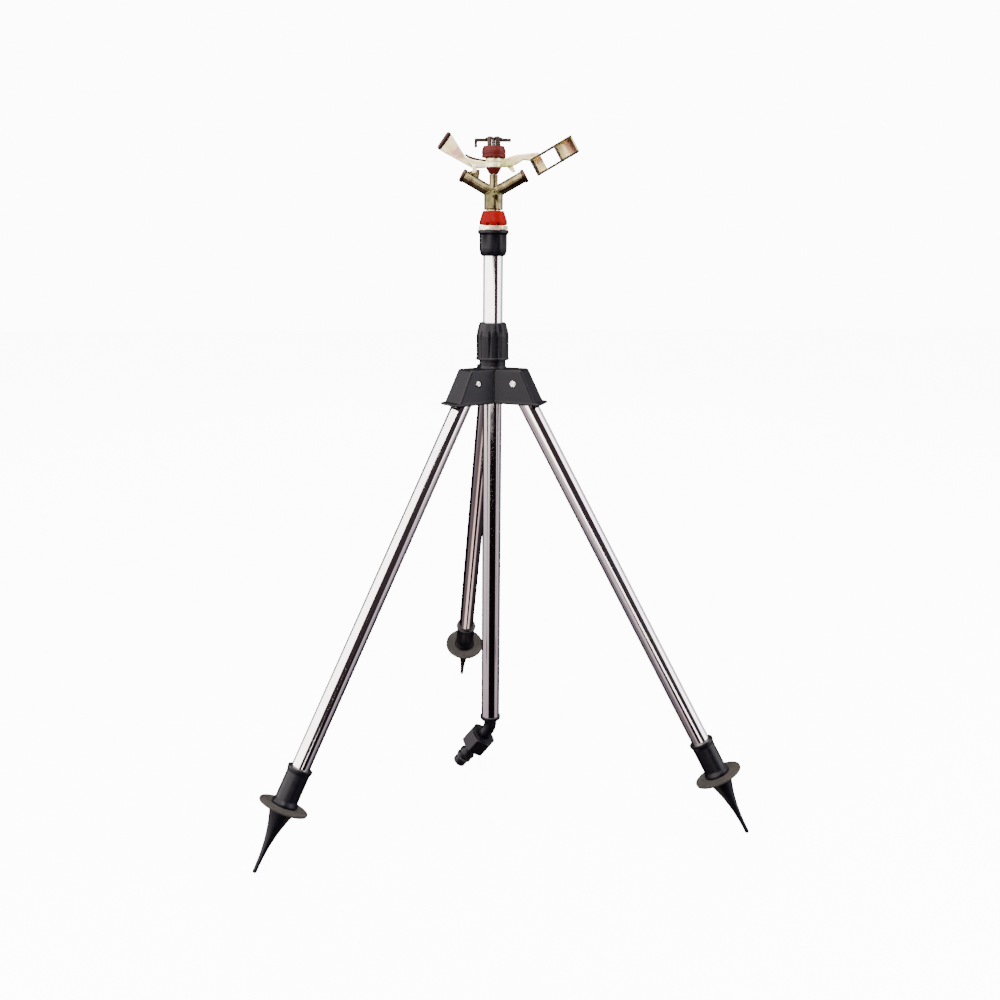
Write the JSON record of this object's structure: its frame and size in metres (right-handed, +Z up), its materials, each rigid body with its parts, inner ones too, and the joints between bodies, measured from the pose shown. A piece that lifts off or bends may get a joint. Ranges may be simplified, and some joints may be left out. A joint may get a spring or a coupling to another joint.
{
  "type": "tripod impact sprinkler",
  "caption": "Impact sprinkler with raised barrels and a rocker arm on a height-adjustable riser, held by a folding tripod with spike feet.",
  "frame": {"origin": "on the riser's axis at the level of the spike tips, midway between the legs", "axes": "+Z up along the riser, +Y towards the rear leg, the front legs towards -Y left and right"},
  "size_m": [0.4812, 0.423, 0.6665],
  "materials": {
    "black_plastic": "moulded, satin charcoal",
    "grey_plastic": "dusty grey-brown, matte",
    "polished_steel": "mirror-polished stainless tube",
    "bright_fastener": "bright zinc",
    "black_rubber": "plain",
    "white_plastic": "plain",
    "red_plastic": "moulded, satin",
    "dark_red_plastic": "moulded, dull dark red",
    "spring_steel": "drawn wire",
    "dark_steel": "dark oxidised",
    "brass": "turned",
    "dark_plated": "dark bronze plating",
    "plated_zinc": "zinc with yellow passivation, green and purple tints"
  },
  "bodies": {
    "stand": {"tripod_hub": "black_plastic", "clamp_collet": "black_plastic", "pivot_bolt_left": "bright_fastener", "pivot_nut_left": "bright_fastener", "pivot_bolt_right": "bright_fastener", "pivot_nut_right": "bright_fastener", "pivot_bolt_rear": "bright_fastener", "pivot_nut_rear": "bright_fastener"},
    "clamp_nut": {"clamp_nut": "black_plastic"},
    "riser": {"riser_tube": "polished_steel", "inlet_elbow": "black_plastic", "elbow_seal": "black_rubber", "adapter_nut": "black_plastic", "adapter_washer": "black_rubber", "hose_nose": "black_plastic", "nose_seal": "black_rubber", "top_cup": "black_plastic", "cup_washer": "black_rubber", "inlet_base": "plated_zinc", "bearing_washer": "white_plastic"},
    "head": {"swivel_tube": "brass", "thrust_washer": "white_plastic", "bearing_spring": "spring_steel", "sand_collar": "red_plastic", "rotor_body": "plated_zinc", "front_nozzle": "dark_plated", "rear_nozzle": "dark_plated", "pivot_shaft": "spring_steel", "shaft_nut": "plated_zinc", "arm_spring": "spring_steel"},
    "rocker_arm": {"rocker_arm": "plated_zinc", "deflector_vane": "plated_zinc", "arm_bush": "dark_red_plastic"},
    "tension_crown": {"spring_cap": "dark_red_plastic", "tension_crown": "dark_steel"},
    "left_leg": {"leg_tube_left": "polished_steel", "leg_eye_left": "black_plastic", "foot_spike_left": "black_plastic", "ground_disc_left": "grey_plastic"},
    "right_leg": {"leg_tube_right": "polished_steel", "leg_eye_right": "black_plastic", "foot_spike_right": "black_plastic", "ground_disc_right": "grey_plastic"},
    "rear_leg": {"leg_tube_rear": "polished_steel", "leg_eye_rear": "black_plastic", "foot_spike_rear": "black_plastic", "ground_disc_rear": "grey_plastic"}
  },
  "joints": [
    {"name": "left_leg_fold", "type": "hinge", "parent": "stand", "child": "left_leg", "pos_m": [-0.02234, -0.0129, 0.4345], "axis": [0.5, -0.866, 0], "range_deg": [0, 28.5]},
    {"name": "right_leg_fold", "type": "hinge", "parent": "stand", "child": "right_leg", "pos_m": [0.02234, -0.0129, 0.4345], "axis": [0.5, 0.866, 0], "range_deg": [0, 28.5]},
    {"name": "rear_leg_fold", "type": "hinge", "parent": "stand", "child": "rear_leg", "pos_m": [0, 0.0258, 0.4345], "axis": [-1, 0, 0], "range_deg": [0, 28.5]},
    {"name": "clamp_nut_turn", "type": "hinge", "parent": "stand", "child": "clamp_nut", "pos_m": [0, 0, 0.47], "axis": [0, 0, 1], "range_deg": [0, 300]},
    {"name": "riser_slide", "type": "slide", "parent": "stand", "child": "riser", "axis": [0, 0, 1], "range_m": [-0.009, 0.27]},
    {"name": "head_turn", "type": "hinge", "parent": "riser", "child": "head", "pos_m": [0, 0, 0.59], "axis": [0, 0, 1], "continuous": true},
    {"name": "arm_swing", "type": "hinge", "parent": "head", "child": "rocker_arm", "pos_m": [0, 0, 0.638], "axis": [0, 0, 1], "range_deg": [0, 95], "stiffness_Nm_per_rad": 0.02, "springref_deg": -34.38},
    {"name": "crown_turn", "type": "hinge", "parent": "head", "child": "tension_crown", "pos_m": [0, 0, 0.65], "axis": [0, 0, 1], "range_deg": [-90, 90]}
  ]
}
